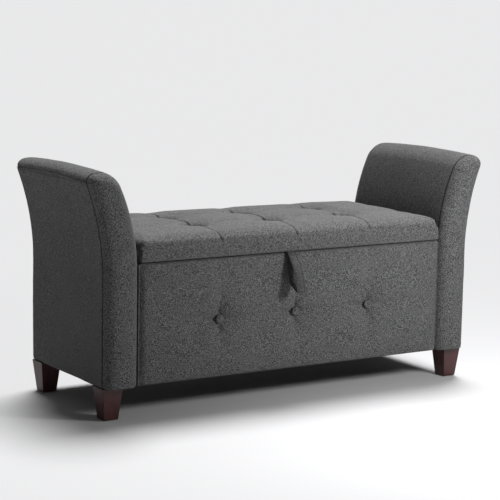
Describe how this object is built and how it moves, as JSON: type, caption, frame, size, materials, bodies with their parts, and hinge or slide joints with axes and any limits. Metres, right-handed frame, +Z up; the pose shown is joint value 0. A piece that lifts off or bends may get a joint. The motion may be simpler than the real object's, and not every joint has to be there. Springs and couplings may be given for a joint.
{
  "type": "storage bench",
  "caption": "Armed upholstered storage bench with a hinged tufted lid, flared arms, a fabric pull strap and tapered wooden legs.",
  "frame": {"origin": "centre of the bounding box, at floor level", "axes": "+X to the right seen from the front, +Y to the back, +Z up"},
  "size_m": [1.3062, 0.5238, 0.664],
  "materials": {
    "fabric": "charcoal melange woven linen-look upholstery fabric, matt",
    "legs": "solid wood stained dark red-brown, satin lacquer",
    "foam": "soft polyurethane upholstery foam, open-cell",
    "plywood": "plywood and softwood, unfinished",
    "fibreboard": "thin hard fibreboard, unfinished",
    "lining": "thin black non-woven lining cloth",
    "zinc_steel": "steel, bright zinc plated",
    "dark_steel": "steel, black powder coat",
    "glide": "dark brown moulded nylon glide",
    "bumper": "small black rubber bumper"
  },
  "bodies": {
    "base": {"arm_bolts": "zinc_steel", "arm_tee_nuts": "zinc_steel", "back_board": "plywood", "back_cover": "fabric", "box_dust_cloth": "lining", "floor_cleats": "plywood", "front_board": "plywood", "front_buttons": "fabric", "front_cover": "fabric", "front_foam": "foam", "front_left_leg": "legs", "front_right_leg": "legs", "hinge_base_leaves": "zinc_steel", "hinge_base_screws": "zinc_steel", "hinge_pins": "zinc_steel", "left_arm_dust_cloth": "lining", "left_arm_foam": "foam", "left_arm_front_facing": "fabric", "left_arm_inner_cover": "fabric", "left_arm_outer_cover": "fabric", "left_arm_rails": "plywood", "left_arm_rear_facing": "fabric", "left_arm_ribs": "plywood", "left_arm_sheet": "fibreboard", "left_end_board": "plywood", "leg_bolts": "zinc_steel", "leg_glides": "glide", "leg_tee_nuts": "zinc_steel", "lid_bumpers": "bumper", "rear_left_leg": "legs", "rear_right_leg": "legs", "right_arm_dust_cloth": "lining", "right_arm_foam": "foam", "right_arm_front_facing": "fabric", "right_arm_inner_cover": "fabric", "right_arm_outer_cover": "fabric", "right_arm_rails": "plywood", "right_arm_rear_facing": "fabric", "right_arm_ribs": "plywood", "right_arm_sheet": "fibreboard", "right_end_board": "plywood", "stay_box_brackets": "dark_steel", "storage_floor": "plywood", "storage_lining": "lining"},
    "lid": {"lid_board": "plywood", "lid_foam": "foam", "lid_cover": "fabric", "lid_buttons": "fabric", "lid_lining": "lining", "hinge_lid_leaves": "zinc_steel", "hinge_lid_screws": "zinc_steel", "stay_lid_brackets": "dark_steel", "strap_tab": "fabric"},
    "pull_strap": {"pull_strap": "fabric"},
    "left_stay_lower": {"left_stay_lower_link": "dark_steel"},
    "left_stay_upper": {"left_stay_upper_link": "dark_steel"},
    "right_stay_lower": {"right_stay_lower_link": "dark_steel"},
    "right_stay_upper": {"right_stay_upper_link": "dark_steel"}
  },
  "joints": [
    {"name": "lid_hinge", "type": "hinge", "parent": "base", "child": "lid", "pos_m": [0, 0.258, 0.4215], "axis": [-1, 0, 0], "range_deg": [0, 90]},
    {"name": "strap_swing", "type": "hinge", "parent": "lid", "child": "pull_strap", "pos_m": [-0.026, -0.204, 0.4215], "axis": [-1, 0, 0], "range_deg": [-8, 110], "stiffness_Nm_per_rad": 0.05, "springref_deg": 3.44},
    {"name": "left_stay_lower_pivot", "type": "hinge", "parent": "base", "child": "left_stay_lower", "pos_m": [-0.48525, 0.212, 0.3615], "axis": [-1, 0, 0], "range_deg": [0, 90]},
    {"name": "left_stay_upper_pivot", "type": "hinge", "parent": "lid", "child": "left_stay_upper", "pos_m": [-0.48225, 0.058, 0.4085], "axis": [-1, 0, 0], "range_deg": [-90, 0]},
    {"name": "right_stay_lower_pivot", "type": "hinge", "parent": "base", "child": "right_stay_lower", "pos_m": [0.48525, 0.212, 0.3615], "axis": [-1, 0, 0], "range_deg": [0, 90]},
    {"name": "right_stay_upper_pivot", "type": "hinge", "parent": "lid", "child": "right_stay_upper", "pos_m": [0.48225, 0.058, 0.4085], "axis": [-1, 0, 0], "range_deg": [-90, 0]}
  ],
  "couplings": [
    {"joint": "left_stay_lower_pivot", "follows": "lid_hinge", "ratio": 1},
    {"joint": "left_stay_upper_pivot", "follows": "lid_hinge", "ratio": -1},
    {"joint": "right_stay_lower_pivot", "follows": "lid_hinge", "ratio": 1},
    {"joint": "right_stay_upper_pivot", "follows": "lid_hinge", "ratio": -1}
  ]
}
